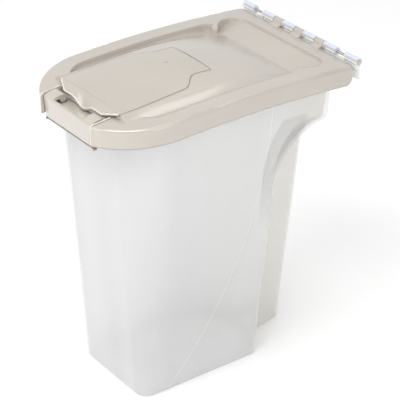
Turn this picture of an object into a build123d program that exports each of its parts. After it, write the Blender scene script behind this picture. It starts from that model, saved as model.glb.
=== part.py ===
"""Pet food dispenser: a tall translucent tub with a hand grip, a hinged lid, a flip door and a front latch.

Millimetres, +Z up. The latch end is the front (-Y), the hinge is the rear (+Y).
The origin is at the middle of the overall footprint, on the surface the tub stands on.
"""
import math
import os

from build123d import *

os.makedirs("parts", exist_ok=True)

# Overall sizes
lid_length = 254.3
lid_width = 165.0
rim_height = 293.0

# Hinge sizes
hinge_back = 3.3
hinge_drop = 1.5
knuckle_radius = 3.5
tub_knuckle_length = 17.0
lid_knuckle_length = 11.6
pin_radius = 1.3
pin_head_radius = 2.2
pin_head_length = 1.2
press_clearance = 0.02
running_clearance = 0.06
knuckle_clearance = 0.7
arm_root = 5.0

# Lid: wall, skirt and the fall of its arch towards the front and the rear
lid_wall = 2.2
skirt_depth = 17.7
rim_front_drop = 8.2
rim_rear_drop = 4.2
rim_crest_offset = 21.0
rim_edge_radius = 2.6
front_corner_start = 67.0
front_bow_half = 24.0
front_bow = 1.0
rear_corner_radius = 6.0
skirt_rear_rise = 14.0
seal_rib_height = 3.2
seal_rib_width = 1.6
seal_rib_inset = 0.2
seat_gap = 0.3

# Field sunk into the lid round the crowned middle, measured in from the rim band's outer edges
rim_band = 17.5
field_front_reach = 37.15
field_rear_reach = 17.15
field_depth = 7.0
field_front_rise = 3.2
field_corner = 30.0
field_pinch = 3.0
field_pinch_corner = 18.0
basin_corner = 14.0
basin_step = 0.8
basin_run = 24.0
valley_reach = 47.15
valley_drop = 10.0

# Crowned middle of the lid: height against the rim's crest, fall to the shoulder, half width
crown_rear_end = (-10.1, 0.3, 50.0)
crown_rear = (0.4, 3.2, 49.2)
crown_top = (7.6, 6.2, 48.6)
crown_wing = (7.2, 6.6, 48.4)
crown_front = (1.8, 2.8, 49.0)
crown_rear_run = 33.0
crown_end_overrun = 3.0
crown_wing_reach = 84.15
crown_foot_drop = 4.4
crown_foot_tuck = 0.4
crown_side_sag = 1.1
crown_base_depth = 14.0

# Flip door
door_reach = 29.15
door_axis_reach = 128.7
door_axis_depth = 4.5
door_barrel_radius = 7.0
door_thickness = 2.2
door_gap = 0.6
door_lift = 0.4
stem_half = 28.5
stem_length = 8.0
shoulder_run = 25.5
wing_half_rear = 43.0
wing_half_front = 45.8
lip_reach = 7.0
lip_half = 29.0
lip_drop = 6.4
lip_fall = 0.6
lip_dip = 5.6
lip_dip_half = 17.0
lip_thickness = 1.8
lip_clearance = 0.4
stub_radius = 1.1
stub_length = 2.0
tray_margin = 4.0
tray_thickness = 1.8
cradle_end = 2.5
gate_radius = 1.3
gate_depth = 0.3
gate_run = 19.5
pour_half = 34.0
pour_front_reach = 34.15
pour_rear_reach = 90.15
pour_corner = 8.0

# Tub
tub_wall = 2.0
tub_floor = 2.6
mouth_drop = 18.0
mouth_front_overhang = 27.6
mouth_rear_overhang = 23.3
mouth_side_overhang = 4.9
mouth_corner = 44.0
side_draft = 27.9
front_draft = 16.0
base_corner = 12.0
base_round = 4.0
rear_corner = 5.0

# Rim of the tub, its rear shelf and apron
rim_thickness = 2.4
rim_gap = 0.8
rim_lip_depth = 7.0
rib_thickness = 1.8
shelf_behind_axis = 1.7
apron_rib_fall = 14.0

# Hand grip scooped out of both rear corners
arch_radius = 61.0
arch_spring_drop = 95.0
grip_radius = 37.0
grip_spring_drop = 85.0
spine_base_half = 10.0
spine_flare = 0.139
spine_taper = 12.0
spine_corner = 5.0
scoop_slope = 0.72
scoop_reach = 14.0
scoop_blend = 9.0

# Styling step swept across each side wall, measured from the mouth and the tub's rear wall
crease_depth = 0.7
crease_top_reach = 66.35
crease_mid_reach = 81.35
crease_mid_drop = 130.0
crease_low_reach = 164.85

# Latch and the tub's catch, measured from the lid's front edge and down from the rim's crest
latch_half = 36.4
latch_gap = 1.2
latch_sheet = 2.4
latch_axis_reach = 17.65
latch_axis_drop = 8.7
latch_knuckle = 3.6
latch_front_reach = 6.15
latch_brow = 3.4
latch_panel_lean = 1.8
latch_bottom_drop = 29.5
latch_toe = 1.0
latch_window_half = 23.0
latch_stub_radius = 1.25
latch_stub_length = 2.6
hook_clearance = 0.15
catch_reach = 11.95
catch_bottom_drop = 26.4
shelf_drop = 16.0
bay_margin = 4.4
ledge_thickness = 1.8
ledge_overhang = 2.3
cheek_boss = 4.0

# Places that follow from the sizes above
lid_half = lid_width / 2
overall_length = lid_length + hinge_back + knuckle_radius
latch_notch_half = latch_half + latch_gap
corner_run = lid_half - front_bow_half
front_corner_radius = (corner_run**2 + (front_corner_start - front_bow) ** 2) / (2 * corner_run)
notch_edge = front_corner_radius - lid_half + latch_notch_half
front_tip = front_corner_start - math.sqrt(front_corner_radius**2 - notch_edge**2)
lid_front = -(overall_length + front_tip) / 2
lid_rear = lid_front + lid_length
hinge_y = lid_rear + hinge_back
hinge_height = rim_height - hinge_drop
knuckle_pitch = (lid_half - tub_knuckle_length / 2) / 2.5
rim_crest_y = (lid_front + lid_rear) / 2 + rim_crest_offset
mouth_height = rim_height - mouth_drop
mouth_half = lid_half - mouth_side_overhang
mouth_front = lid_front + mouth_front_overhang
mouth_rear = lid_rear - mouth_rear_overhang
base_half = mouth_half - side_draft
side_slope = math.atan(side_draft / mouth_height)
front_slope = math.atan(front_draft / mouth_height)
side_normal = Vector(math.cos(side_slope), 0, -math.sin(side_slope))
front_normal = Vector(0, -math.cos(front_slope), -math.sin(front_slope))
rim_drop = lid_wall + seal_rib_height + seat_gap
field_half = lid_half - rim_band
field_front = lid_front + field_front_reach
field_rear = lid_rear - field_rear_reach
valley_y = lid_rear - valley_reach
valley_height = rim_height - valley_drop
door_front = lid_front + door_reach
door_axis_y = lid_front + door_axis_reach
door_axis_height = rim_height + crown_top[0] - door_axis_depth
stem_front = door_axis_y - stem_length
wing_rear = stem_front - shoulder_run
pocket_depth = door_thickness + door_lift
pour_front = lid_front + pour_front_reach
pour_rear = lid_front + pour_rear_reach
crown_stations = (
    (valley_y + crown_end_overrun, crown_rear_end),
    (valley_y - crown_rear_run, crown_rear),
    (door_axis_y, crown_top),
    (lid_front + crown_wing_reach, crown_wing),
    (door_front, crown_front),
)
latch_axis_y = lid_front + latch_axis_reach
latch_axis_height = rim_height - latch_axis_drop
latch_front = lid_front + latch_front_reach
latch_bottom = rim_height - latch_bottom_drop
latch_bay = latch_notch_half + bay_margin
catch_y = lid_front + catch_reach
catch_bottom = rim_height - catch_bottom_drop
shelf_height = rim_height - shelf_drop
rear_shelf = hinge_y + shelf_behind_axis
apron_top = hinge_height - knuckle_radius - knuckle_clearance
tub_top = rim_height + 3.0


def lid_outline(inset, rear):
    """Plan of the lid: big front corners, a front edge that bows out and small rear corners."""
    half = lid_half - inset
    front = lid_front + inset
    with BuildSketch() as plan:
        with BuildLine():
            start = Line((0, rear), (half - rear_corner_radius, rear))
            turn = TangentArc(start @ 1, (half, rear - rear_corner_radius), tangent=(1, 0))
            side = Line(turn @ 1, (half, lid_front + front_corner_start))
            corner = TangentArc(side @ 1, (front_bow_half, front + front_bow), tangent=(0, -1))
            ThreePointArc(corner @ 1, (0, front), (-front_bow_half, front + front_bow))
            shoulder = (-half, lid_front + front_corner_start)
            other = TangentArc(shoulder, (-front_bow_half, front + front_bow), tangent=(0, -1))
            back = Line(other @ 0, (-half, rear - rear_corner_radius))
            last = TangentArc((-half + rear_corner_radius, rear), back @ 1, tangent=(-1, 0))
            Line(last @ 0, start @ 0)
        make_face()
    return plan.sketch


def arched_slab(low_drop, high_drop):
    """A slab across the whole width between two copies of the rim's arch, lowered by the two drops."""
    reach = 12.0
    points = (
        (lid_front, rim_height - rim_front_drop),
        (rim_crest_y, rim_height),
        (lid_rear, rim_height - rim_rear_drop),
    )
    with BuildPart() as slab:
        with BuildSketch(Plane.YZ):
            with BuildLine():
                top = ThreePointArc(*[(y, z - high_drop) for y, z in points])
                low = ThreePointArc(*[(y, z - low_drop) for y, z in points])
                Polyline(low @ 0, (lid_front - reach, (low @ 0).Y), (lid_front - reach, (top @ 0).Y), top @ 0)
                Polyline(low @ 1, (lid_rear + reach, (low @ 1).Y), (lid_rear + reach, (top @ 1).Y), top @ 1)
            make_face()
        extrude(amount=lid_width, both=True)
    return slab.part


def rim_level(y):
    """Height of the rim's arch at one place along the lid."""
    end, fall = (lid_front, rim_front_drop) if y < rim_crest_y else (lid_rear, rim_rear_drop)
    return rim_height - fall * ((y - rim_crest_y) / (end - rim_crest_y)) ** 2


def crown_form(drop, shrink):
    """Everything under the crowned middle and its scooped sides, lowered by drop and narrowed by shrink."""
    base = valley_height - crown_base_depth
    with BuildPart() as form:
        for y, (rise, fall, half) in crown_stations:
            with BuildSketch(Plane.XZ.offset(-y)):
                with BuildLine():
                    wide = half - shrink
                    foot = field_half + crown_foot_tuck
                    top = rim_height + rise - drop
                    low = min(rim_level(y) - crown_foot_drop - drop, top - fall - 1.0)
                    middle = ((wide + foot) / 2, (top - fall + low) / 2 - crown_side_sag)
                    arc = ThreePointArc((-wide, top - fall), (0, top), (wide, top - fall))
                    near = ThreePointArc(arc @ 1, middle, (foot, low))
                    far = ThreePointArc(arc @ 0, (-middle[0], middle[1]), (-foot, low))
                    Polyline(near @ 1, (foot, base), (-foot, base), far @ 1)
                make_face()
        loft()
    return form.part


def tub_section(height, inset):
    """Plan of the tub at one height, drawn in by inset."""
    half = side_at(height, inset)
    front = front_at(height, inset)
    rear = mouth_rear - inset
    corner = base_corner + (mouth_corner - base_corner) * height / mouth_height - inset
    with BuildSketch(Plane.XY.offset(height)) as section:
        with Locations((0, (front + rear) / 2)):
            Rectangle(2 * half, rear - front)
        fillet(section.vertices().sort_by(Axis.Y)[:2], corner)
        fillet(section.vertices().sort_by(Axis.Y)[-2:], rear_corner - inset / 2)
    return section.sketch


def side_at(height, inset):
    """How far the tub's side wall is from the middle at one height."""
    return base_half + side_draft * height / mouth_height - inset


def front_at(height, inset):
    """Where the tub's front wall is at one height."""
    return mouth_front + front_draft * (1 - height / mouth_height) + inset


def corner_ball(height, inset):
    """The ball that would roll up the +X front corner: its centre and radius at one height."""
    radius = base_corner + (mouth_corner - base_corner) * height / mouth_height - inset
    x = side_at(height, inset) - radius / math.cos(side_slope)
    y = front_at(height, inset) + radius / math.cos(front_slope)
    return Vector(x, y, height), radius


def corner_cone(low, high, inset):
    """The leaning cone that rounds the +X front corner, cut level at two heights."""
    margin = 5.0
    (start, first), (end, last) = corner_ball(low - margin, inset), corner_ball(high + margin, inset)
    run = end - start
    flare = math.cos(math.asin((last - first) / run.length))
    seat = (Align.CENTER, Align.CENTER, Align.MIN)
    with BuildPart() as cone:
        with Locations(Plane(origin=start, z_dir=run)):
            Cone(first / flare, last / flare, run.length, align=seat)
        add(block((-lid_half, lid_half), (lid_front, lid_rear), (low, high)), mode=Mode.INTERSECT)
    return cone.part


def corner_wedge(low, high, inset):
    """What is cut off the +X front corner, out to where the cone touches both walls."""
    margin = 5.0
    lines = []
    for normal in (side_normal, front_normal):
        ends = []
        for height in (low - margin, high + margin):
            centre, radius = corner_ball(height, inset)
            ends.append(centre + normal * radius)
        lines.append(ends)
    with BuildPart() as wedge:
        for level in (low - margin, high + margin):
            a, b = [foot + (top - foot) * ((level - foot.Z) / (top.Z - foot.Z)) for foot, top in lines]
            with BuildSketch(Plane.XY.offset(level)):
                with BuildLine():
                    Polyline((a.X, a.Y), (a.X + mouth_half, b.Y - mouth_half), (b.X, b.Y), close=True)
                make_face()
        loft(ruled=True)
    return wedge.part


def tub_form(low, high, inset):
    """The tub's tapering block between two heights: flat walls, small rear corners and coned front corners."""
    rear = mouth_rear - inset
    with BuildPart() as form:
        with BuildSketch(Plane.XZ.offset(-rear)):
            with BuildLine():
                wide, narrow = side_at(high, inset), side_at(low, inset)
                Polyline((narrow, low), (wide, high), (-wide, high), (-narrow, low), close=True)
            make_face()
        extrude(amount=overall_length)
        with BuildSketch(Plane.YZ):
            with BuildLine():
                foot, lip = front_at(low, inset), front_at(high, inset)
                Polyline((foot, low), (lip, high), (rear, high), (rear, low), close=True)
            make_face()
        extrude(amount=lid_width, both=True, mode=Mode.INTERSECT)
        uprights = form.edges().filter_by(lambda edge: edge.length > mouth_height / 2)
        fillet(uprights.sort_by(Axis.Y)[-2:], rear_corner - inset / 2)
        add(both_sides(corner_wedge(low, high, inset)), mode=Mode.SUBTRACT)
        add(both_sides(corner_cone(low, high, inset)))
    return form.part


def scoop(grow):
    """The hand-grip space on the +X side: an arch in the side wall that narrows to one at the spine."""
    depth_below = 20.0
    rear_out = mouth_rear + 30.0
    lean = math.atan(spine_flare)
    turn = math.radians(spine_taper)
    outside = Plane(
        origin=(base_half + scoop_reach, 0, 0),
        x_dir=(0, 1, 0),
        z_dir=(math.cos(side_slope), 0, -math.sin(side_slope)),
    )
    along = Vector(-math.sin(turn), math.cos(turn), 0)
    rising = Vector(math.sin(lean) * math.cos(turn), math.sin(lean) * math.sin(turn), math.cos(lean))
    inside = Plane(
        origin=(spine_base_half - grow, mouth_rear, 0),
        x_dir=along,
        z_dir=along.cross(rising),
    )
    wide = arch_radius + scoop_reach * scoop_slope + grow * 1.25
    tight = grip_radius + grow * 1.25
    faces = (
        (outside, mouth_rear, wide, mouth_height - arch_spring_drop, rear_out),
        (inside, 0.0, tight, mouth_height - grip_spring_drop, 30.0),
    )
    with BuildPart() as space:
        for plane, centre, radius, spring, out in faces:
            with BuildSketch(plane):
                with BuildLine():
                    up = Line((centre - radius, -depth_below), (centre - radius, spring))
                    arch = TangentArc(up @ 1, (centre, spring + radius), tangent=(0, 1))
                    Polyline(arch @ 1, (out, spring + radius), (out, -depth_below), up @ 0)
                make_face()
        loft(ruled=True)
        seam = space.faces().sort_by(Axis.X)[0].edges().sort_by(Axis.Y)
        fillet(seam[:2], scoop_blend - grow)
    return space.part


def both_sides(shape):
    """The shape and its mirror image across the middle plane."""
    return [shape, mirror(shape, about=Plane.YZ)]


def door_plan(grow):
    """The T of the flip door: a narrow stem at the hinge that flares into two wings, grown all round."""
    with BuildSketch() as plan:
        with BuildLine() as edge:
            stem = Line((stem_half + grow, door_axis_y + grow), (stem_half + grow, stem_front))
            flare = Spline(stem @ 1, (wing_half_rear + grow, wing_rear), tangents=((0, -1), (0, -1)))
            wing = Line(flare @ 1, (wing_half_front + grow, door_front - grow))
            Line(wing @ 1, (0, door_front - grow))
            mirror(edge.line, about=Plane.YZ)
            Line((-stem_half - grow, door_axis_y + grow), stem @ 0)
        make_face()
    return plan.sketch


def door_prism(grow):
    """A tall prism on the door's T."""
    with BuildPart() as prism:
        with BuildSketch(Plane.XY.offset(valley_height - 20)):
            add(door_plan(grow))
        extrude(amount=60)
    return prism.part


def rod(y, z, radius, start, end):
    """A round bar along X."""
    with BuildPart() as bar:
        with BuildSketch(Plane.YZ.offset(start)):
            with Locations((y, z)):
                Circle(radius)
        extrude(amount=end - start)
    return bar.part


def block(x, y, z):
    """A box given by its three pairs of limits."""
    with BuildPart() as box:
        with BuildSketch(Plane.XY.offset(z[0])):
            with Locations(((x[0] + x[1]) / 2, (y[0] + y[1]) / 2)):
                Rectangle(x[1] - x[0], y[1] - y[0])
        extrude(amount=z[1] - z[0])
    return box.part


def knuckle(start, end, root, bore):
    """One hinge knuckle with its bore, on the root outline that carries it."""
    with BuildPart() as part:
        with BuildSketch(Plane.YZ.offset(start)):
            with BuildLine():
                Polyline(*root, close=True)
            make_face()
            with Locations((hinge_y, hinge_height)):
                Circle(knuckle_radius)
                Circle(bore, mode=Mode.SUBTRACT)
        extrude(amount=end - start)
    return part.part


def side_profile(points, start, end):
    """A plate with the given outline in the YZ plane, from one X to another."""
    with BuildPart() as plate:
        with BuildSketch(Plane.YZ.offset(start)):
            with BuildLine():
                Polyline(*points, close=True)
            make_face()
        extrude(amount=end - start)
    return plate.part


def field_cutter(drop):
    """The space of the lid's sunk field: a rear basin, its pinched-in valley and the moat round the crown."""
    rim_rear = rim_height - rim_rear_drop
    rim_front = rim_height - rim_front_drop
    with BuildPart() as space:
        with BuildSketch(Plane.XY.offset(valley_height - 30)) as plan:
            for rear, front, corner_rear, corner_front in (
                (field_rear, valley_y - field_pinch, basin_corner, field_pinch_corner),
                (valley_y + field_pinch, field_front, field_pinch_corner, field_corner),
            ):
                with BuildSketch(mode=Mode.PRIVATE) as patch:
                    with Locations((0, (rear + front) / 2)):
                        Rectangle(2 * (field_half + drop), rear - front + 2 * drop)
                    fillet(patch.vertices().sort_by(Axis.Y)[:2], corner_front + drop)
                    fillet(patch.vertices().sort_by(Axis.Y)[-2:], corner_rear + drop)
                add(patch.sketch)
        extrude(amount=60)
        with BuildSketch(Plane.YZ):
            with BuildLine():
                rear_end = (field_rear + 10, rim_rear + basin_step - drop)
                basin = Line(rear_end, (valley_y, valley_height - drop))
                rise = Line(basin @ 1, (valley_y - basin_run, rim_height - field_depth - 0.6 - drop))
                floor = ThreePointArc(
                    rise @ 1,
                    (rim_crest_y - 50, rim_height - field_depth - 1.0 - drop),
                    (field_front - 10, rim_front + field_front_rise - field_depth - drop),
                )
                over = rim_height + 20
                Polyline(floor @ 1, (field_front - 10, over), (field_rear + 10, over), basin @ 0)
            make_face()
        extrude(amount=lid_width, both=True, mode=Mode.INTERSECT)
    return space.part


def lid_form(drop):
    """Everything under the lid's top, drawn in by drop all round; with a drop it is open at the rear."""
    rear = lid_rear + (30.0 if drop else 0.0)
    with BuildPart() as form:
        with BuildSketch(Plane.XY.offset(valley_height - 40)):
            add(lid_outline(drop, rear))
        extrude(amount=80)
        add(arched_slab(skirt_depth + (10.0 if drop else 0.0), drop), mode=Mode.INTERSECT)
        if not drop:
            fillet(form.faces().sort_by(Axis.Z)[-1].edges(), rim_edge_radius)
        add(field_cutter(drop), mode=Mode.SUBTRACT)
    return form.part


def pivot_bar(start, end, radius):
    """A bar on the latch's axis."""
    return rod(latch_axis_y, latch_axis_height, radius, start, end)


def tub_block(low, high, inset):
    """The tapering block with both rear corners scooped away, leaving the hand-grip spine."""
    with BuildPart() as form:
        add(tub_form(low, high, inset))
        add(both_sides(scoop(inset)), mode=Mode.SUBTRACT)
        spine = form.edges().filter_by(
            lambda edge: edge.length > 100
            and abs(edge.center().Y - mouth_rear + inset) < 1
            and abs(edge.center().X) < 0.6 * base_half
        )
        fillet(spine, spine_corner - inset)
    return form.part


# Tub: a thin tapering shell, scooped at both rear corners, with a rim, a latch shelf and hinge knuckles
tub_hollow = tub_block(tub_floor, tub_top + 1.0, tub_wall)

# Shallow step swept down each side wall: all behind the curve lies a little deeper
step_plane = Plane(
    origin=(base_half - crease_depth, 0, 0),
    x_dir=(0, 1, 0),
    z_dir=(math.cos(side_slope), 0, -math.sin(side_slope)),
)
with BuildPart() as side_step:
    with BuildSketch(step_plane):
        with BuildLine():
            crease = ThreePointArc(
                (mouth_rear - crease_top_reach, tub_top + 5),
                (mouth_rear - crease_mid_reach, mouth_height - crease_mid_drop),
                (mouth_rear - crease_low_reach, -5),
            )
            Polyline(crease @ 1, (mouth_rear + 20, -5), (mouth_rear + 20, tub_top + 5), crease @ 0)
        make_face()
    extrude(amount=10)

bay_cut = block((-latch_bay, latch_bay), (lid_front - 5, mouth_front), (mouth_height - 60, tub_top + 20))
with BuildPart() as rim:
    with BuildSketch(Plane.XY.offset(mouth_height - 10)):
        add(lid_outline(lid_wall + rim_gap, rear_shelf))
    extrude(amount=40)
    add(arched_slab(rim_drop + rim_thickness, rim_drop), mode=Mode.INTERSECT)
    add(bay_cut, mode=Mode.SUBTRACT)
with BuildPart() as rim_lip:
    with BuildSketch(Plane.XY.offset(mouth_height - 20)):
        add(lid_outline(lid_wall + rim_gap, rear_shelf))
        add(lid_outline(lid_wall + rim_gap + rib_thickness, rear_shelf + 5), mode=Mode.SUBTRACT)
    extrude(amount=40)
    add(arched_slab(rim_drop + rim_lip_depth, rim_drop), mode=Mode.INTERSECT)
    add(bay_cut, mode=Mode.SUBTRACT)

with BuildPart() as tub:
    add(tub_block(0.0, tub_top, 0.0))
    fillet(tub.faces().sort_by(Axis.Z)[0].edges(), base_round)
    add(both_sides(side_step.part), mode=Mode.SUBTRACT)
    add(arched_slab(rim_drop, -30.0), mode=Mode.SUBTRACT)
    add(rim.part)
    add(rim_lip.part)
    add(field_cutter(lid_wall + seat_gap), mode=Mode.SUBTRACT)
    # Lowered shelf under the latch, its side webs, the catch and its ribs
    shelf_reach = (catch_y, mouth_front + 0.6)
    shelf_half = latch_bay + rim_thickness
    add(block((-shelf_half, shelf_half), shelf_reach, (shelf_height - rim_thickness, shelf_height)))
    for near, far in ((-shelf_half, -latch_bay), (latch_bay, shelf_half)):
        add(block((near, far), shelf_reach, (shelf_height - rim_thickness, mouth_height + 5.4)))
    add(block((-latch_bay, latch_bay), (catch_y, catch_y + tub_wall), (catch_bottom, shelf_height)))
    catch_rib = (
        (catch_y + tub_wall / 2, shelf_height - 1),
        (catch_y + tub_wall / 2, catch_bottom + 1),
        (mouth_front + 1.0, catch_bottom - 5),
        (mouth_front + 1.0, shelf_height - 1),
    )
    for place in (-latch_bay + rib_thickness / 2, 0.0, latch_bay - rib_thickness / 2):
        add(side_profile(catch_rib, place - rib_thickness / 2, place + rib_thickness / 2))
    # Apron behind the rear shelf and the ribs that brace it
    add(block((-lid_half, lid_half), (rear_shelf - tub_wall, rear_shelf), (mouth_height, apron_top)))
    apron_rib = (
        (mouth_rear - tub_wall / 2, apron_top - 4),
        (rear_shelf - tub_wall / 2, apron_top - 4),
        (rear_shelf - tub_wall / 2, mouth_height + 1),
        (mouth_rear - tub_wall / 2, mouth_height - apron_rib_fall),
    )
    for step in (-1.5, -0.5, 0.5, 1.5):
        place = step * knuckle_pitch
        add(side_profile(apron_rib, place - rib_thickness / 2, place + rib_thickness / 2))
    # Knuckles
    foot = (
        (rear_shelf - 0.02, apron_top - 4),
        (rear_shelf - 0.02, hinge_height),
        (hinge_y - 0.5 * knuckle_radius, hinge_height - 0.6 * knuckle_radius),
        (hinge_y - 0.5 * knuckle_radius, apron_top - 4),
    )
    for step in (-2.5, -1.5, -0.5, 0.5, 1.5, 2.5):
        start = step * knuckle_pitch - tub_knuckle_length / 2
        add(knuckle(start, start + tub_knuckle_length, foot, pin_radius + press_clearance))
    add(tub_hollow, mode=Mode.SUBTRACT)
tub.part.label = "tub"
export_step(tub.part, "parts/tub.step")

# Hinge pin: one rod through all nine knuckles, with a head at one end
with BuildPart() as hinge_pin:
    add(rod(hinge_y, hinge_height, pin_radius, -lid_half, lid_half + pin_head_length))
    add(rod(hinge_y, hinge_height, pin_head_radius, lid_half, lid_half + pin_head_length))
hinge_pin.part.label = "hinge_pin"
export_step(hinge_pin.part, "parts/hinge_pin.step")

# Lid: an arched shell with a skirt, a sunk field, a crowned middle, the door's pocket and the latch's notch
crown = crown_form(0.0, 0.0)
front_shut = block(
    (-lid_half, lid_half),
    (lid_front, door_front + lid_wall),
    (rim_height - rim_front_drop + 1.0, rim_height + 30),
)
with BuildPart() as lid_hollow:
    add(lid_form(lid_wall))
    add(crown_form(lid_wall, lid_wall))
    add(front_shut, mode=Mode.SUBTRACT)

with BuildPart() as seal_rib:
    with BuildSketch(Plane.XY.offset(mouth_height - 5)):
        for inset, mode in ((seal_rib_inset, Mode.ADD), (seal_rib_inset + seal_rib_width, Mode.SUBTRACT)):
            add(tub_section(mouth_height, inset).moved(Location((0, 0, -mouth_height))), mode=mode)
    extrude(amount=40)
    add(arched_slab(lid_wall + seal_rib_height, lid_wall / 2), mode=Mode.INTERSECT)
    add(field_cutter(lid_wall / 2), mode=Mode.SUBTRACT)

with BuildPart() as pocket_tray:
    add(door_prism(door_gap + tray_margin))
    add(crown_form(lid_wall - 0.2, 0.0), mode=Mode.INTERSECT)
    add(crown_form(pocket_depth + tray_thickness, 0.0), mode=Mode.SUBTRACT)
with BuildPart() as pocket:
    add(door_prism(door_gap))
    add(crown_form(pocket_depth, 0.0), mode=Mode.SUBTRACT)
with BuildPart() as pour_cut:
    with BuildSketch(Plane.XY.offset(valley_height - 30)):
        with Locations((0, (pour_front + pour_rear) / 2)):
            RectangleRounded(2 * pour_half, pour_rear - pour_front, pour_corner)
    extrude(amount=60)
with BuildPart() as cradle:
    cradle_half = stem_half + stub_length + cradle_end
    cradle_radius = door_barrel_radius + door_gap + tray_thickness
    add(rod(door_axis_y, door_axis_height, cradle_radius, -cradle_half, cradle_half))
    add(crown_form(0.4, 0.0), mode=Mode.INTERSECT)

skirt_low = rim_height - rim_rear_drop - skirt_depth
with BuildPart() as skirt_corner:
    with BuildSketch(Plane.YZ):
        with Locations((lid_rear - skirt_rear_rise / 2 + 1, skirt_low + skirt_rear_rise / 2 - 1)):
            Rectangle(skirt_rear_rise + 2, skirt_rear_rise + 2)
        with Locations((lid_rear - skirt_rear_rise, skirt_low + skirt_rear_rise)):
            Circle(skirt_rear_rise, mode=Mode.SUBTRACT)
    extrude(amount=lid_width, both=True)

# Notch for the latch, the cheek with its pivot boss on each side of it and the ledge between the cheeks
notch_rear = mouth_front - seal_rib_inset
deep = (mouth_height - 60, tub_top + 20)
notch = block((-latch_notch_half, latch_notch_half), (lid_front - 5, notch_rear), deep)
boss_span = (latch_axis_height - 2.6, latch_axis_height + 4)
ledge_low = shelf_height + seat_gap
with BuildPart() as cheek:
    cheek_face = latch_notch_half + lid_wall
    boss_run = (catch_y - 1.0, latch_axis_y + 3.0)
    add(block((latch_notch_half, latch_notch_half + cheek_boss), boss_run, boss_span))
    add(block((latch_notch_half, cheek_face), (catch_y - 1.0, notch_rear), (ledge_low, boss_span[1])))
    add(block((latch_notch_half, cheek_face), (lid_front, catch_y - 1.0), deep))
    add(arched_slab(skirt_depth, lid_wall / 2), mode=Mode.INTERSECT)
    with BuildSketch(Plane.XY.offset(valley_height - 40)):
        add(lid_outline(lid_wall / 2, lid_rear))
    extrude(amount=80, mode=Mode.INTERSECT)

with BuildPart() as lid:
    add(lid_form(0.0))
    add(crown)
    add(arched_slab(skirt_depth, -40.0), mode=Mode.INTERSECT)
    add(lid_hollow.part, mode=Mode.SUBTRACT)
    add(skirt_corner.part, mode=Mode.SUBTRACT)
    add(seal_rib.part)
    add(pocket_tray.part)
    add(cradle.part)
    add(notch, mode=Mode.SUBTRACT)
    add(both_sides(cheek.part))
    cheek_span = (-cheek_face, cheek_face)
    ledge_run = (catch_y - ledge_overhang, notch_rear - door_gap)
    add(block(cheek_span, ledge_run, (ledge_low, ledge_low + ledge_thickness)))
    add(pocket.part, mode=Mode.SUBTRACT)
    well_half = stem_half + door_gap
    well = rod(door_axis_y, door_axis_height, door_barrel_radius + door_gap, -well_half, well_half)
    add(well, mode=Mode.SUBTRACT)
    add(pour_cut.part, mode=Mode.SUBTRACT)
    door_bore = stem_half + stub_length + 0.3
    door_hole = rod(door_axis_y, door_axis_height, stub_radius + running_clearance, -door_bore, door_bore)
    add(door_hole, mode=Mode.SUBTRACT)
    latch_bore = latch_notch_half + latch_stub_length + 0.3
    latch_hole = pivot_bar(latch_notch_half - 1, latch_bore, latch_stub_radius + running_clearance)
    add(both_sides(latch_hole), mode=Mode.SUBTRACT)
    # Knuckles on arms
    arm_top = rim_height - rim_rear_drop
    arm = (
        (lid_rear - arm_root, arm_top - lid_wall + 0.1),
        (hinge_y, hinge_height - knuckle_radius + 0.3),
        (hinge_y, hinge_height + 0.5 * knuckle_radius),
        (lid_rear - arm_root, arm_top),
    )
    for step in (-1.0, 0.0, 1.0):
        start = step * knuckle_pitch - lid_knuckle_length / 2
        add(knuckle(start, start + lid_knuckle_length, arm, pin_radius + running_clearance))
lid.part.label = "lid"
export_step(lid.part, "parts/lid.step")


def lip_section(y, half, height, fall, dip):
    """A slice across the door's front: a thin band that falls to its ends and dips in the middle."""
    count = 9
    upper = []
    for index in range(count):
        x = half * (2 * index / (count - 1) - 1)
        bowl = math.cos(math.pi * x / (2 * lip_dip_half)) ** 2 if abs(x) < lip_dip_half else 0.0
        upper.append((x, height - fall * (x / half) ** 2 - dip * bowl))
    lower = [(x, z - lip_thickness) for x, z in upper]
    with BuildSketch(Plane.XZ.offset(-y)) as section:
        with BuildLine():
            Spline(*upper)
            Spline(*lower)
            Line(upper[0], lower[0])
            Line(upper[-1], lower[-1])
        make_face()
    return section.sketch


# Flip door: a T-shaped crowned plate with a barrel and two stubs at the rear and a dipped lip at the front
front_crest = rim_height + crown_front[0]
with BuildPart() as barrel:
    add(rod(door_axis_y, door_axis_height, door_barrel_radius, -stem_half, stem_half))
    add(crown, mode=Mode.INTERSECT)
with BuildPart() as lip:
    lip_root_half = wing_half_front - 0.6
    root_fall = crown_front[1] * (lip_root_half / crown_front[2]) ** 2
    add(lip_section(door_front + 0.3, lip_root_half, front_crest - 0.1, root_fall, 0.0))
    add(lip_section(door_front - lip_reach, lip_half, front_crest - lip_drop, lip_fall, lip_dip))
    loft(ruled=True)
    # The underside clears the rim band beside the latch's notch
    rim_side = (latch_notch_half - lip_clearance, lid_half)
    with BuildPart(mode=Mode.PRIVATE) as band:
        add(block(rim_side, (lid_front, door_front + 1.2), (mouth_height, tub_top)))
        add(arched_slab(skirt_depth, -lip_clearance), mode=Mode.INTERSECT)
    add(both_sides(band.part), mode=Mode.SUBTRACT)
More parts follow.
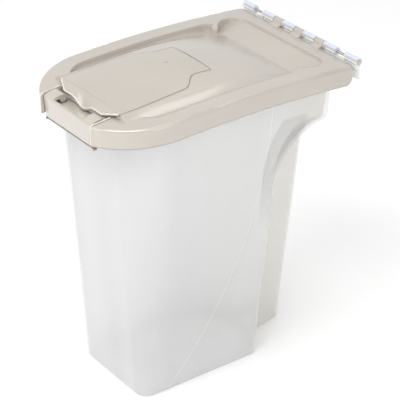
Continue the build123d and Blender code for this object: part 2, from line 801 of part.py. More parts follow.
# The small dimple left by the moulding gate, in the middle of the door's top
with BuildPart() as gate:
    with Locations((0, door_axis_y - gate_run, rim_height)):
        Cylinder(gate_radius, 20)
    add(crown_form(gate_depth, 0.0), mode=Mode.SUBTRACT)
with BuildPart() as flip_door:
    add(door_prism(0.0))
    add(crown, mode=Mode.INTERSECT)
    add(crown_form(door_thickness, 0.0), mode=Mode.SUBTRACT)
    add(barrel.part)
    stub_end = stem_half + stub_length
    add(rod(door_axis_y, door_axis_height, stub_radius, -stub_end, stub_end))
    add(lip.part)
    add(gate.part, mode=Mode.SUBTRACT)
flip_door.part.label = "flip_door"
export_step(flip_door.part, "parts/flip_door.step")

# Latch: a bail of two arms and a front panel, with a hook along the bottom that stands at the tub's catch
latch_top = latch_axis_height + latch_knuckle
panel_foot = latch_front + latch_panel_lean
panel_top = latch_top - latch_brow
with BuildPart() as latch:
    with BuildSketch(Plane.YZ.offset(-latch_half)):
        with BuildLine():
            brow = TangentArc((latch_axis_y, latch_top), (latch_front, panel_top), tangent=(-1, 0))
            toe = (panel_foot + latch_toe, latch_bottom)
            panel = Polyline(brow @ 1, (panel_foot, latch_bottom + latch_toe), toe)
            hook = Polyline(
                panel @ 1,
                (catch_y - hook_clearance, latch_bottom),
                (catch_y - hook_clearance, catch_bottom - 1.6),
                (panel_foot + latch_sheet, catch_bottom - 0.4),
            )
            Polyline(
                hook @ 1,
                (latch_front + latch_sheet, panel_top - 1.6),
                (latch_axis_y, latch_top - latch_sheet),
                brow @ 0,
            )
        make_face()
    extrude(amount=2 * latch_half)
    add(pivot_bar(-latch_half, latch_half, latch_knuckle))
    window = block(
        (-latch_window_half, latch_window_half),
        (latch_front + latch_sheet - 0.6, latch_axis_y + 5),
        (shelf_height, tub_top),
    )
    add(window, mode=Mode.SUBTRACT)
    latch_end = latch_notch_half + latch_stub_length
    add(both_sides(pivot_bar(latch_half - 1, latch_end, latch_stub_radius)))
latch.part.label = "latch"
export_step(latch.part, "parts/latch.step")
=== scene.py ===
"""Looks of a pet food dispenser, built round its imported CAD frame.

It holds the finishes, the small moulded edges that the CAD lacks, the studio light and the camera.
Sizes and places are in metres, in the row frame: +Z is up and -Y is towards the latch.
"""

import logging
import math
from dataclasses import dataclass
from enum import Enum

import bmesh
import bpy
from mathutils import Matrix, Vector

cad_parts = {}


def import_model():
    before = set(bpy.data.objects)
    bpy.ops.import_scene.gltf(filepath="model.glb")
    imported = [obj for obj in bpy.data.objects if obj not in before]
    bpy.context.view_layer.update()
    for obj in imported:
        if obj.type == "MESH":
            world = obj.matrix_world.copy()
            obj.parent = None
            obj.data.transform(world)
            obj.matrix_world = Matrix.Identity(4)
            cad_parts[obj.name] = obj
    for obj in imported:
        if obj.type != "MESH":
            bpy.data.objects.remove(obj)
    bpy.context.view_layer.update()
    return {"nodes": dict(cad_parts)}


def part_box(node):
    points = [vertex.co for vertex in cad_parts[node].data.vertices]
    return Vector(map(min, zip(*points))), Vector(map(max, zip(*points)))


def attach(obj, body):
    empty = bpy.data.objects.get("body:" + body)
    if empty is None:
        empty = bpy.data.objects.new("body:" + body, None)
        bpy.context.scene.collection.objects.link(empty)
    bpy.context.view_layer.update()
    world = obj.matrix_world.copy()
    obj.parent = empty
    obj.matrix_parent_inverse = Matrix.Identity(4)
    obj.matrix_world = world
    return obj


log = logging.getLogger("dispenser")

Colour = tuple[float, float, float]
Place = tuple[float, float, float]
Size = tuple[float, float]
Span = tuple[float, float]
Spot = tuple[float, float]
Socket = bpy.types.NodeSocket

WHITE: Colour = (1.0, 1.0, 1.0)

# A screen colour is linear up to the knee and follows a power curve above it
SCREEN_WHITE = 255.0
SCREEN_KNEE = 0.04045
SCREEN_SLOPE = 12.92
SCREEN_OFFSET = 0.055
SCREEN_POWER = 2.4

# Most values of a noise texture lie in this stretch
MOST_NOISE: Span = (0.3, 0.7)

# What between() gives at the two ends of a span
RISING: Span = (0.0, 1.0)
FALLING: Span = (1.0, 0.0)

# How many directions the shader's edge rounding looks in
EDGE_SAMPLES = 12


class Step(Enum):
    """One step of arithmetic on node sockets, by the name that Blender gives it."""

    PLUS = "ADD"
    MINUS = "SUBTRACT"
    TIMES = "MULTIPLY"
    POWER = "POWER"
    ROOT = "SQRT"
    SIZE = "ABSOLUTE"
    LESSER = "MINIMUM"
    GREATER = "MAXIMUM"


def linear(red: float, green: float, blue: float) -> Colour:
    """Turn an 8-bit screen colour into linear light.

    Args:
        red: red, 0 to 255.
        green: green, 0 to 255.
        blue: blue, 0 to 255.

    Returns:
        The three linear values, 0 to 1.
    """
    out = []
    for value in (red, green, blue):
        share = value / SCREEN_WHITE
        if share <= SCREEN_KNEE:
            out.append(share / SCREEN_SLOPE)
        else:
            out.append(((share + SCREEN_OFFSET) / (1 + SCREEN_OFFSET)) ** SCREEN_POWER)
    return out[0], out[1], out[2]


def scaled(colour: Colour, factor: float) -> Colour:
    """Make a colour brighter or darker, and no brighter than white.

    Args:
        colour: the colour to start from.
        factor: what each of its values is multiplied by.

    Returns:
        The new colour.
    """
    red, green, blue = (min(1.0, value * factor) for value in colour)
    return red, green, blue


def circle_through(first: Spot, second: Spot, third: Spot) -> tuple[Spot, float]:
    """Find the circle through three points of a plane.

    Args:
        first: a point.
        second: another point.
        third: a third point, not in line with them.

    Returns:
        The centre and the radius.
    """
    (ax, ay), (bx, by), (cx, cy) = first, second, third
    turn = 2 * (ax * (by - cy) + bx * (cy - ay) + cx * (ay - by))
    a = ax * ax + ay * ay
    b = bx * bx + by * by
    c = cx * cx + cy * cy
    x = (a * (by - cy) + b * (cy - ay) + c * (ay - by)) / turn
    y = (a * (cx - bx) + b * (ax - cx) + c * (bx - ax)) / turn
    return (x, y), math.hypot(ax - x, ay - y)


class NodeBoard:
    """The nodes of one material, laid out round its principled shader."""

    def __init__(self, name: str) -> None:
        """Make a material with an output and a principled shader.

        Args:
            name: the material's name.
        """
        self.material = bpy.data.materials.new(name)
        self.material.use_nodes = True
        self.tree = self.material.node_tree
        self.tree.nodes.clear()
        self.output = self.tree.nodes.new("ShaderNodeOutputMaterial")
        self.shader = self.tree.nodes.new("ShaderNodeBsdfPrincipled")
        self.join(self.shader.outputs[0], self.output.inputs["Surface"])

    def add(self, kind: str, **values: object) -> bpy.types.Node:
        """Add a node and set its attributes.

        Args:
            kind: the node's type name.
            values: attributes to set on it.

        Returns:
            The new node.
        """
        node = self.tree.nodes.new(kind)
        for key, value in values.items():
            setattr(node, key, value)
        return node

    def join(self, source: Socket, target: Socket) -> None:
        """Link two sockets."""
        self.tree.links.new(source, target)

    def feed(self, source: Socket, name: str) -> None:
        """Link a socket to the shader's input of that name."""
        self.join(source, self.shader.inputs[name])

    def fix(self, values: dict[str, float]) -> None:
        """Set inputs of the shader that are the same all over the surface.

        Args:
            values: each input's name and value.
        """
        for name, value in values.items():
            self.shader.inputs[name].default_value = value

    def place(self) -> Socket:
        """Give the socket of a point's place, in row-frame metres."""
        return self.add("ShaderNodeTexCoord").outputs["Object"]

    def axes(self) -> tuple[Socket, Socket, Socket]:
        """Split a point's place into its three coordinates.

        Returns:
            The sockets of X, Y and Z, in metres.
        """
        parts = self.add("ShaderNodeSeparateXYZ")
        self.join(self.place(), parts.inputs[0])
        return parts.outputs["X"], parts.outputs["Y"], parts.outputs["Z"]

    def noise(self, scale: float, detail: float = 1.0, stretch: Place = (1.0, 1.0, 1.0)) -> Socket:
        """Make a cloud of noise that keeps its place on the piece.

        Args:
            scale: bumps per metre.
            detail: how many finer layers it holds.
            stretch: factors on the three axes; a small one draws the bumps out along its axis.

        Returns:
            The noise value's socket.
        """
        shift = self.add("ShaderNodeMapping")
        shift.inputs["Scale"].default_value = stretch
        self.join(self.place(), shift.inputs["Vector"])
        cloud = self.add("ShaderNodeTexNoise")
        cloud.inputs["Scale"].default_value = scale
        cloud.inputs["Detail"].default_value = detail
        self.join(shift.outputs[0], cloud.inputs["Vector"])
        return cloud.outputs["Fac"]

    def between(self, value: Socket, span: Span, ends: Span = RISING) -> Socket:
        """Ease from one number to another while a value crosses a span, and hold them outside it.

        Args:
            value: the socket to read.
            span: the two values at which the result starts and stops changing.
            ends: the results there.

        Returns:
            The result's socket.
        """
        node = self.add("ShaderNodeMapRange", interpolation_type="SMOOTHSTEP")
        for name, number in zip(("From Min", "From Max", "To Min", "To Max"), (*span, *ends)):
            node.inputs[name].default_value = number
        self.join(value, node.inputs["Value"])
        return node.outputs[0]

    def step(self, step: Step, first: Socket, second: Socket | float = 0.0) -> Socket:
        """Do one step of arithmetic.

        Args:
            step: which one.
            first: the first value.
            second: the second value, a socket or a number; steps on one value ignore it.

        Returns:
            The result's socket.
        """
        node = self.add("ShaderNodeMath", operation=step.value)
        self.join(first, node.inputs[0])
        if isinstance(second, float):
            node.inputs[1].default_value = second
        else:
            self.join(second, node.inputs[1])
        return node.outputs[0]

    def product(self, *shares: Socket) -> Socket:
        """Multiply values, so that shares of 0 to 1 give what lies in all of them.

        Args:
            shares: the values' sockets, two or more.

        Returns:
            The product's socket.
        """
        total = shares[0]
        for share in shares[1:]:
            total = self.step(Step.TIMES, total, share)
        return total

    def total(self, *values: Socket) -> Socket:
        """Add values up.

        Args:
            values: the values' sockets, two or more.

        Returns:
            The total's socket.
        """
        total = values[0]
        for value in values[1:]:
            total = self.step(Step.PLUS, total, value)
        return total

    def distance(self, across: Socket, up: Socket) -> Socket:
        """Measure how long a step in a plane is.

        Args:
            across: its part along one axis.
            up: its part along the other.

        Returns:
            The length's socket.
        """
        squares = self.total(self.step(Step.POWER, across, 2.0), self.step(Step.POWER, up, 2.0))
        return self.step(Step.ROOT, squares)

    def blend(self, share: Socket, first: Colour | Socket, second: Colour | Socket) -> Socket:
        """Blend two colours.

        Args:
            share: how much of the second colour, 0 to 1.
            first: a colour or a colour's socket.
            second: a colour or a colour's socket.

        Returns:
            The blended colour's socket.
        """
        node = self.add("ShaderNodeMix", data_type="RGBA")
        share_in, first_in, second_in = node.inputs[0], node.inputs[6], node.inputs[7]
        self.join(share, share_in)
        for target, value in ((first_in, first), (second_in, second)):
            if isinstance(value, tuple):
                target.default_value = (*value, 1.0)
            else:
                self.join(value, target)
        return node.outputs[2]

    def bump(self, height: Socket, depth: float, strength: float, soft_edge: float = 0.0) -> None:
        """Give the shader a fine relief, and edges that catch the light as moulded ones do.

        Args:
            height: the relief's socket.
            depth: its depth in metres.
            strength: its share, 0 to 1.
            soft_edge: the radius that edges seem to have, in metres; 0 leaves them sharp.
        """
        node = self.add("ShaderNodeBump")
        if soft_edge:
            edge = self.add("ShaderNodeBevel", samples=EDGE_SAMPLES)
            edge.inputs["Radius"].default_value = soft_edge
            self.join(edge.outputs[0], node.inputs["Normal"])
        node.inputs["Distance"].default_value = depth
        node.inputs["Strength"].default_value = strength
        self.join(height, node.inputs["Height"])
        self.feed(node.outputs[0], "Normal")


@dataclass(frozen=True)
class LatchWindowLight:
    """The thin ledge that shows behind the latch's panel, with painted light: its colour is paler than the
    rest of the lid to lift the shade that the door's lip casts on it.
    """

    half: float = 0.0338
    top: float = 0.2838
    front: float = -0.1222
    rear: float = -0.1035
    soft: float = 0.0004
    # Painted light: a paler colour that lifts the shade falling on the ledge under the door's lip
    pale: Colour = linear(208, 202, 191)

    def share(self, board: NodeBoard) -> Socket:
        """Find the window on the lid.

        Args:
            board: the material being built.

        Returns:
            A socket that is 1 inside the window and 0 away from it.
        """
        x, y, z = board.axes()
        return board.product(
            board.between(board.step(Step.SIZE, x), (self.half, self.half + self.soft), FALLING),
            board.between(z, (self.top, self.top + self.soft), FALLING),
            board.between(y, (self.front - self.soft, self.front)),
            board.between(y, (self.rear, self.rear + self.soft), FALLING),
        )


@dataclass(frozen=True)
class PearlPlastic:
    """Satin moulded plastic with a fine pearl: clouds of tone, flecks, faint grain and a clear skin."""

    name: str
    light: Colour
    deep: Colour
    rough: float = 0.3
    coat: float = 1.0
    soft_edge: float = 0.0034
    window: LatchWindowLight | None = None

    cloud_scale: float = 14.0
    cloud_detail: float = 3.0
    fleck_scale: float = 2600.0
    fleck_span: Span = (0.56, 0.74)
    fleck_share: float = 0.25
    fleck_gain: float = 1.09
    grain_scale: float = 500.0
    grain_depth: float = 0.00003
    grain_strength: float = 0.06
    rough_spread: Span = (-0.01, 0.015)
    coat_rough: float = 0.15
    coat_ior: float = 1.9
    gloss: float = 0.7
    ior: float = 1.5

    def tone(self, board: NodeBoard) -> Socket:
        """Lay the clouds, the flecks and the window's painted light over each other.

        Args:
            board: the material being built.

        Returns:
            The colour's socket.
        """
        clouds = board.noise(self.cloud_scale, self.cloud_detail)
        tone = board.blend(board.between(clouds, MOST_NOISE), self.light, self.deep)
        flecks = board.between(board.noise(self.fleck_scale), self.fleck_span, (0.0, self.fleck_share))
        tone = board.blend(flecks, tone, scaled(self.light, self.fleck_gain))
        # Painted light: the latch window's ledge is made paler to lift the shade in the notch
        if self.window:
            tone = board.blend(self.window.share(board), tone, self.window.pale)
        return tone

    def make(self) -> bpy.types.Material:
        """Build the material.

        Returns:
            The new material.
        """
        board = NodeBoard(self.name)
        board.feed(self.tone(board), "Base Color")
        grain = board.noise(self.grain_scale)
        smooth, coarse = self.rough_spread
        rough = board.between(grain, MOST_NOISE, (self.rough + smooth, self.rough + coarse))
        board.feed(rough, "Roughness")
        board.bump(grain, self.grain_depth, self.grain_strength, self.soft_edge)
        board.fix({
            "Coat Weight": self.coat,
            "Coat Roughness": self.coat_rough,
            "Coat IOR": self.coat_ior,
            "Specular IOR Level": self.gloss,
            "IOR": self.ior,
        })
        return board.material


@dataclass(frozen=True)
class WallLine:
    """The thin line that sweeps down each side wall, on the circle through three of its points (Y, Z).

    half_width says how far to each side it starts to fade and is gone, and cover how much it hides.
    """

    points: tuple[Spot, Spot, Spot] = ((0.0320, 0.3000), (0.0170, 0.1443), (-0.0665, -0.0050))
    half_width: Span = (0.0003, 0.0009)
    cover: float = 0.16

    def share(self, board: NodeBoard) -> Socket:
        """Find the line on the tub.

        Args:
            board: the material being built.

        Returns:
            A socket that is 1 on the line and 0 away from it.
        """
        (middle_y, middle_z), radius = circle_through(*self.points)
        _, y, z = board.axes()
        reach = board.distance(board.step(Step.MINUS, y, middle_y), board.step(Step.MINUS, z, middle_z))
        off = board.step(Step.SIZE, board.step(Step.MINUS, reach, radius))
        return board.between(off, self.half_width, FALLING)


@dataclass(frozen=True)
class GripShadeBand:
    """Painted shade: the darker band of each side wall beside the grip scoop, where the scoop's upper arch
    faces down and gets little light.

    Its inner edge runs straight up and then along the circle through three of its points (Y, Z).
    The side wall lies wall_half from the middle at the floor and leans out by wall_lean with height.
    The band fades in between the two depths under the wall's face that wall_depth gives.
    """

    points: tuple[Spot, Spot, Spot] = ((0.0460, 0.2541), (0.0338, 0.2325), (0.0284, 0.2035))
    inner_soft: float = 0.0025
    top: float = 0.2560
    top_soft: float = 0.004
    rear: float = 0.0780
    rear_soft: float = 0.008
    fade: Span = (0.1300, 0.2050)
    wall_half: float = 0.0489
    wall_lean: float = 0.102
    wall_depth: Span = (0.005, 0.002)
    # colour of the painted shade beside the grip scoop
    shade: Colour = linear(188, 188, 186)

    def share(self, board: NodeBoard) -> Socket:
        """Find the band on the tub.

        Args:
            board: the material being built.

        Returns:
            A socket that is 1 in the band and 0 away from it.
        """
        (middle_y, middle_z), radius = circle_through(*self.points)
        x, y, z = board.axes()
        up = board.step(Step.GREATER, board.step(Step.MINUS, z, middle_z), 0.0)
        reach = board.distance(board.step(Step.MINUS, y, middle_y), up)
        out = board.step(Step.MINUS, board.step(Step.SIZE, x), board.step(Step.TIMES, z, self.wall_lean))
        deep, shallow = self.wall_depth
        return board.product(
            board.between(reach, (radius - self.inner_soft, radius), FALLING),
            board.between(z, (self.top - self.top_soft, self.top), FALLING),
            board.between(y, (self.rear - self.rear_soft, self.rear), FALLING),
            board.between(z, self.fade),
            board.between(out, (self.wall_half - deep, self.wall_half - shallow)),
        )


@dataclass(frozen=True)
class FrostedPlastic:
    """Milky see-through moulded plastic, cloudier at its base and denser where it is seen edge-on.

    Its knuckles are bluish and thick, and its spine is warmer than its walls.
    """

    name: str
    light: Colour
    deep: Colour
    tint: Colour
    warm: Colour
    line: WallLine = WallLine()
    band: GripShadeBand = GripShadeBand()

    streak_scale: float = 22.0
    streak_stretch: Place = (1.0, 1.0, 0.05)
    streak_span: Span = (0.32, 0.7)
    knuckle_low: Span = (0.2870, 0.2890)
    knuckle_front: Span = (0.1216, 0.1236)
    knuckle_cover: float = 0.45
    spine_front: Span = (0.045, 0.06)
    facing_blend: float = 0.35
    facing_span: Span = (0.25, 0.98)
    veil: Span = (0.5, 0.88)
    haze_height: Span = (0.0, 0.05)
    haze_cover: float = 0.08
    rim_height: Span = (0.268, 0.276)
    rim_cover: float = 0.1
    inner_cover: float = 0.2
    rough: Span = (0.28, 0.31)
    ripple_scale: float = 40.0
    ripple_depth: float = 0.0001
    ripple_strength: float = 0.08
    ior: float = 1.49

    def tone(self, board: NodeBoard, streaks: Socket, knuckle: Socket) -> Socket:
        """Lay the streaks, the spine, the grip band's painted shade and the knuckles' tint over each
        other.

        Args:
            board: the material being built.
            streaks: the flow streaks' socket.
            knuckle: where the knuckles are, 1 on them and 0 away from them.

        Returns:
            The colour's socket.
        """
        _, y, _ = board.axes()
        tone = board.blend(board.between(streaks, self.streak_span), self.light, self.deep)
        tone = board.blend(board.between(y, self.spine_front), tone, self.warm)
        # painted shade beside the grip scoop
        tone = board.blend(self.band.share(board), tone, self.band.shade)
        return board.blend(knuckle, tone, self.tint)

    def cover(self, board: NodeBoard, knuckle: Socket) -> Socket:
        """Say how much of what lies behind is hidden.

        Args:
            board: the material being built.
            knuckle: where the knuckles are, 1 on them and 0 away from them.

        Returns:
            The alpha's socket, with the walls' inner faces kept faint.
        """
        _, _, z = board.axes()
        facing = board.add("ShaderNodeLayerWeight")
        facing.inputs["Blend"].default_value = self.facing_blend
        cover = board.total(
            board.between(facing.outputs["Facing"], self.facing_span, self.veil),
            board.between(z, self.haze_height, (self.haze_cover, 0.0)),
            board.between(z, self.rim_height, (0.0, self.rim_cover)),
            board.step(Step.TIMES, knuckle, self.knuckle_cover),
            board.step(Step.TIMES, self.line.share(board), self.line.cover),
        )
        inner = board.add("ShaderNodeNewGeometry").outputs["Backfacing"]
        outer = board.between(inner, (0.0, 1.0), (1.0, self.inner_cover))
        return board.product(board.step(Step.LESSER, cover, 1.0), outer)

    def make(self) -> bpy.types.Material:
        """Build the material.

        Returns:
            The new material.
        """
        board = NodeBoard(self.name)
        _, y, z = board.axes()
        knuckle = board.product(board.between(z, self.knuckle_low), board.between(y, self.knuckle_front))
        streaks = board.noise(self.streak_scale, stretch=self.streak_stretch)
        board.feed(self.tone(board, streaks, knuckle), "Base Color")
        board.feed(self.cover(board, knuckle), "Alpha")
        board.feed(board.between(streaks, MOST_NOISE, self.rough), "Roughness")
        board.bump(board.noise(self.ripple_scale), self.ripple_depth, self.ripple_strength)
        board.fix({"IOR": self.ior})
        return board.material


@dataclass(frozen=True)
class DrawnSteel:
    """Plain drawn wire: fine rings across a satin metal."""

    name: str
    base: Colour
    ring_scale: float = 1500.0
    ring_detail: float = 2.0
    ring_stretch: Place = (1.0, 0.05, 0.05)
    ring_dark: float = 0.82
    ring_depth: float = 0.00003
    ring_strength: float = 0.3
    rough: Span = (0.25, 0.42)

    def make(self) -> bpy.types.Material:
        """Build the material.

        Returns:
            The new material.
        """
        board = NodeBoard(self.name)
        rings = board.noise(self.ring_scale, self.ring_detail, self.ring_stretch)
        dark = scaled(self.base, self.ring_dark)
        board.feed(board.blend(board.between(rings, MOST_NOISE), self.base, dark), "Base Color")
        board.feed(board.between(rings, MOST_NOISE, self.rough), "Roughness")
        board.bump(rings, self.ring_depth, self.ring_strength)
        board.fix({"Metallic": 1.0})
        return board.material


@dataclass(frozen=True)
class PalePaper:
    """The pale sheet that the object stands on, with faint fibres."""

    name: str
    base: Colour
    fibre_scale: float = 60.0
    fibre_detail: float = 4.0
    fibre_dark: float = 0.985
    rough: float = 0.9
    gloss: float = 0.1

    def make(self) -> bpy.types.Material:
        """Build the material.

        Returns:
            The new material.
        """
        board = NodeBoard(self.name)
        fibre = board.noise(self.fibre_scale, self.fibre_detail)
        board.feed(board.blend(fibre, self.base, scaled(self.base, self.fibre_dark)), "Base Color")
        board.fix({"Roughness": self.rough, "Specular IOR Level": self.gloss})
        return board.material


Finish = PearlPlastic | FrostedPlastic | DrawnSteel | PalePaper


@dataclass(frozen=True)
class Finishes:
    """Every finish of the object, by the piece that wears it."""

    lid: PearlPlastic = PearlPlastic(
        "pearl_beige",
        light=linear(181, 173, 163),
        deep=linear(176, 168, 158),
        # the lid carries painted light in its latch window
        window=LatchWindowLight(),
    )
    latch: PearlPlastic = PearlPlastic(
        "pearl_beige_latch",
        light=linear(184, 176, 166),
        deep=linear(179, 171, 161),
        soft_edge=0.0014,
    )
    door: PearlPlastic = PearlPlastic(
        "pearl_beige_door",
        light=linear(180, 172, 161),
        deep=linear(174, 166, 155),
        rough=0.32,
        coat=0.9,
        soft_edge=0.0014,
    )
    # Painted highlight: the beads are partly a real rolled edge, and their paler colour stands in for the
    # highlight line along the lip and the notch edges
    bead: PearlPlastic = PearlPlastic(
        "pearl_beige_bead",
        light=linear(212, 205, 196),
        deep=linear(207, 200, 190),
        rough=0.22,
        soft_edge=0.0,
    )
    # Painted shade: the lip's dark colour stands in for the shadowed gap under the latch's panel
    lip: PearlPlastic = PearlPlastic(
        "pearl_beige_lip",
        light=linear(150, 138, 124),
        deep=linear(140, 128, 114),
        rough=0.4,
        coat=0.2,
        soft_edge=0.0,
    )
    tub: FrostedPlastic = FrostedPlastic(
        "frosted_clear",
        light=linear(216, 217, 217),
        deep=linear(211, 212, 211),
        tint=linear(198, 207, 228),
        warm=linear(217, 214, 208),
    )
    pin: DrawnSteel = DrawnSteel("drawn_wire", base=linear(214, 208, 200))


@dataclass
class SubAssembly:
    """A part of the dispenser: its CAD nodes, and the making of small forms that the CAD lacks."""

    finishes: Finishes
    nodes: dict[str, bpy.types.Object]
    bead_fineness: int = 3

    def dress(self, node: str, finish: Finish) -> None:
        """Give a CAD node its material.

        Args:
            node: the node's name.
            finish: what it is made of.
        """
        materials = self.nodes[node].data.materials
        materials.clear()
        materials.append(finish.make())
        log.info("%s wears %s", node, finish.name)

    def attach(self, name: str, data: bpy.types.Mesh | bpy.types.Curve, finish: Finish, body: str) -> None:
        """Put a made form on a CAD body, and give it its finish's material.

        Args:
            name: the piece's name.
            data: its mesh or curve.
            finish: what it is made of.
            body: the CAD body that it moves with.
        """
        data.materials.append(finish.make())
        piece = bpy.data.objects.new(name, data)
        bpy.context.scene.collection.objects.link(piece)
        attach(piece, body)
        log.info("%s rides %s and wears %s", name, body, finish.name)

    def roll(self, name: str, points: list[Place], radius: float, body: str) -> None:
        """Make one rolled bead.

        Args:
            name: the piece's name.
            points: the places that its middle line runs through.
            radius: half its thickness.
            body: the CAD body that it moves with.
        """
        curve = bpy.data.curves.new(name, "CURVE")
        curve.dimensions = "3D"
        curve.bevel_depth = radius
        curve.bevel_resolution = self.bead_fineness
        curve.use_fill_caps = True
        spline = curve.splines.new("POLY")
        spline.points.add(len(points) - 1)
        for point, place in zip(spline.points, points):
            point.co = (*place, 1.0)
        spline.use_smooth = True
        # the beads wear the paler bead finish, a painted highlight
        self.attach(name, curve, self.finishes.bead, body)


@dataclass
class Container(SubAssembly):
    """The translucent tub with its hand-grip spine, and the pin through its knuckles."""

    def build(self) -> None:
        """Dress the tub and the pin."""
        self.dress("tub", self.finishes.tub)
        self.dress("hinge_pin", self.finishes.pin)


@dataclass
class Latch(SubAssembly):
    """The bail at the front, with the turned-in lip along its panel's lower edge; the lip is a moulded
    form, and its dark colour is painted shade of the gap under the panel.

    The lip's sizes start from the latch's own box: lip_short is how far it stops short of the sides,
    lip_back how far it lies behind the front, and lip_bite how far it reaches up into the panel.
    """

    lip_short: float = 0.0034
    lip_back: float = 0.00186
    lip_bite: float = 0.0002
    lip_deep: float = 0.0038
    lip_thick: float = 0.0011
    foot_wide: float = 0.0022
    foot_tall: float = 0.0021
    lip_round: float = 0.0003
    lip_round_steps: int = 2

    def lip(self) -> None:
        """Mould the lip with a small foot at each end."""
        low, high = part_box("latch")
        half = high[0] - self.lip_short
        middle_y = low[1] + self.lip_back + self.lip_deep / 2
        top = low[2] + self.lip_bite
        bars = [(0.0, 2 * half, self.lip_thick)]
        bars += [(side * half, self.foot_wide, self.foot_tall) for side in (-1, 1)]
        mesh = bmesh.new()
        for middle_x, wide, tall in bars:
            place = Matrix.Translation((middle_x, middle_y, top - tall / 2))
            size = Matrix.Diagonal((wide, self.lip_deep, tall, 1.0))
            bmesh.ops.create_cube(mesh, size=1.0, matrix=place @ size)
        bmesh.ops.bevel(
            mesh,
            geom=mesh.edges[:],
            offset=self.lip_round,
            segments=self.lip_round_steps,
            affect="EDGES",
        )
        data = bpy.data.meshes.new("latch_lip")
        mesh.to_mesh(data)
        mesh.free()
        # the lip wears a dark finish, painted shade of the gap under the panel
        self.attach("latch_lip", data, self.finishes.lip, "latch")

    def build(self) -> None:
        """Mould the lip and dress the latch."""
        self.lip()
        self.dress("latch", self.finishes.latch)


@dataclass
class FlipDoor(SubAssembly):
    """The pouring door, with the rolled bead along its dipped lip.

    The bead's wave reaches wave_half to each side. It falls by wave_fall towards its ends and dips by
    dip in its middle, and from its ends the bead runs straight to the door's two wings.
    """

    bead_radius: float = 0.00095
    bead_inset: float = 0.0005
    bead_steps: int = 28
    wave_half: float = 0.029
    wave_z: float = 0.28830
    wave_fall: float = 0.0006
    dip: float = 0.0056
    dip_half: float = 0.017
    wing_inset: float = 0.0012
    wing_y: float = -0.10305
    wing_z: float = 0.29175

    def wave(self, x: float) -> float:
        """Give the height of the lip's lower edge.

        Args:
            x: how far to the right of the middle.

        Returns:
            The height above the floor.
        """
        bow = self.wave_fall * (x / self.wave_half) ** 2
        if abs(x) >= self.dip_half:
            return self.wave_z - bow
        return self.wave_z - bow - self.dip * math.cos(math.pi * x / (2 * self.dip_half)) ** 2

    def bead(self) -> None:
        """Roll the bead from one wing through the dip to the other wing."""
        low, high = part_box("flip_door")
        front = low[1] + self.bead_inset
        wing_x = high[0] - self.wing_inset
        across = [self.wave_half * (2 * step / self.bead_steps - 1) for step in range(self.bead_steps + 1)]
        points = [(-wing_x, self.wing_y, self.wing_z)]
        points += [(x, front, self.wave(x)) for x in across]
        points.append((wing_x, self.wing_y, self.wing_z))
        self.roll("lip_bead", points, self.bead_radius, "flip_door")

    def build(self) -> None:
        """Roll the bead and dress the door."""
        self.bead()
        self.dress("flip_door", self.finishes.door)


@dataclass
class Lid(SubAssembly):
    """The arched lid, with a rolled bead at each side of its latch notch."""

    cheek_radius: float = 0.0007
    cheek_half: float = 0.0387
    cheek_foot: float = 0.00075
    cheek_top: float = 0.2862
    cheek_bend: float = 0.0026
    cheek_steps: int = 6
    cheek_rear: float = -0.1080
    cheek_rise: float = 0.0018

    def cheek(self, name: str, x: float) -> None:
        """Roll a bead up the lid's front and over its top.

        Args:
            name: the bead's name.
            x: where it stands.
        """
        low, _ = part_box("lid")
        front = low[1] + self.cheek_radius
        bend = self.cheek_bend
        points = [(x, front, low[2] + self.cheek_foot), (x, front, self.cheek_top - bend)]
        for step in range(1, self.cheek_steps + 1):
            angle = math.pi / 2 * step / self.cheek_steps
            y = front + bend * (1 - math.cos(angle))
            points.append((x, y, self.cheek_top - bend * (1 - math.sin(angle))))
        points.append((x, self.cheek_rear, self.cheek_top + self.cheek_rise))
        self.roll(name, points, self.cheek_radius, "lid")

    def build(self) -> None:
        """Roll the two beads and dress the lid."""
        self.cheek("cheek_bead_left", -self.cheek_half)
        self.cheek("cheek_bead_right", self.cheek_half)
        self.dress("lid", self.finishes.lid)


@dataclass(frozen=True)
class Lamp:
    """One soft box of the studio."""

    name: str
    place: Place
    aim: Place
    size: Size
    power: float

    def build(self) -> None:
        """Hang the lamp and turn it to its aim."""
        data = bpy.data.lights.new(self.name, "AREA")
        data.shape = "RECTANGLE"
        data.size, data.size_y = self.size
        data.energy = self.power
        data.color = WHITE
        lamp = bpy.data.objects.new(self.name, data)
        bpy.context.scene.collection.objects.link(lamp)
        lamp.location = self.place
        towards = Vector(self.aim) - Vector(self.place)
        lamp.rotation_euler = towards.to_track_quat("-Z", "Y").to_euler()


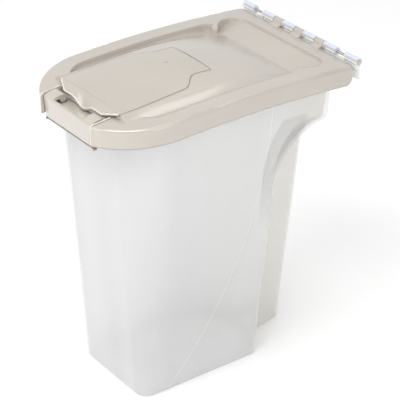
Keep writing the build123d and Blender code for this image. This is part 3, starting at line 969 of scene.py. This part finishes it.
@dataclass(frozen=True)
class Camera:
    """The camera at the photograph's viewing angle.

    Angles are in degrees, lens and sensor in millimetres. The azimuth turns from -Y towards +X.
    """

    place: Place = (1.1434, -0.81711, 0.9375)
    azimuth: float = 54.1109
    elevation: float = 29.0908
    roll: float = -0.1853
    lens: float = 158.589
    sensor: float = 36.0
    shift: Spot = (0.003837, 0.003786)
    far: float = 50.0

    def build(self) -> None:
        """Stand the camera up and look through it."""
        data = bpy.data.cameras.new("camera")
        data.sensor_fit = "HORIZONTAL"
        data.sensor_width = self.sensor
        data.lens = self.lens
        data.shift_x, data.shift_y = self.shift
        data.clip_end = self.far
        camera = bpy.data.objects.new("camera", data)
        bpy.context.scene.collection.objects.link(camera)
        turn = math.radians(self.azimuth)
        lift = math.radians(self.elevation)
        back = Vector((math.sin(turn) * math.cos(lift), -math.cos(turn) * math.cos(lift), math.sin(lift)))
        side = Vector((0, 0, 1)).cross(back).normalized()
        level = Matrix((side, back.cross(side), back)).transposed()
        tilt = Matrix.Rotation(math.radians(self.roll), 3, "Z")
        camera.matrix_world = Matrix.Translation(self.place) @ (level @ tilt).to_4x4()
        bpy.context.scene.camera = camera


@dataclass(frozen=True)
class Studio:
    """Floor, soft boxes, even surround and camera."""

    lamps: tuple[Lamp, ...] = (
        Lamp("front_box", place=(-0.7, -2.0, 1.2), aim=(0.0, 0.0, 0.15), size=(1.8, 1.3), power=11.0),
        Lamp("side_box", place=(2.1, -0.1, 0.9), aim=(0.0, 0.0, 0.15), size=(1.4, 1.2), power=7.5),
        Lamp("sheen_box", place=(-0.08, 0.3, 1.6), aim=(0.0, 0.05, 0.29), size=(0.45, 1.0), power=1.9),
        Lamp("key_box", place=(0.30, -0.66, 1.32), aim=(0.0, -0.05, 0.28), size=(0.9, 0.32), power=8.2),
    )
    camera: Camera = Camera()
    paper: PalePaper = PalePaper("pale_paper", base=linear(254, 254, 254))
    floor_radius: float = 6.0
    floor_sides: int = 48
    surround: float = 0.76

    def floor(self) -> None:
        """Lay the floor as a flat round sheet."""
        mesh = bmesh.new()
        bmesh.ops.create_circle(mesh, cap_ends=True, radius=self.floor_radius, segments=self.floor_sides)
        data = bpy.data.meshes.new("floor")
        mesh.to_mesh(data)
        mesh.free()
        data.materials.append(self.paper.make())
        floor = bpy.data.objects.new("floor", data)
        bpy.context.scene.collection.objects.link(floor)

    def sky(self) -> None:
        """Set an even white surround."""
        world = bpy.data.worlds.new("studio")
        bpy.context.scene.world = world
        world.use_nodes = True
        sky = world.node_tree.nodes["Background"]
        sky.inputs["Color"].default_value = (*WHITE, 1.0)
        sky.inputs["Strength"].default_value = self.surround

    def build(self) -> None:
        """Set up everything round the object."""
        self.floor()
        self.sky()
        for lamp in self.lamps:
            lamp.build()
        self.camera.build()
        bpy.context.scene.view_settings.view_transform = "Standard"
        log.info("studio with %d lamps", len(self.lamps))


def main() -> None:
    logging.basicConfig(level=logging.INFO, format="%(name)s: %(message)s")
    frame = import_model()
    finishes = Finishes()
    for sub_assembly in (Container, Latch, FlipDoor, Lid):
        sub_assembly(finishes, frame["nodes"]).build()
    Studio().build()


if __name__ == "__main__":
    main()
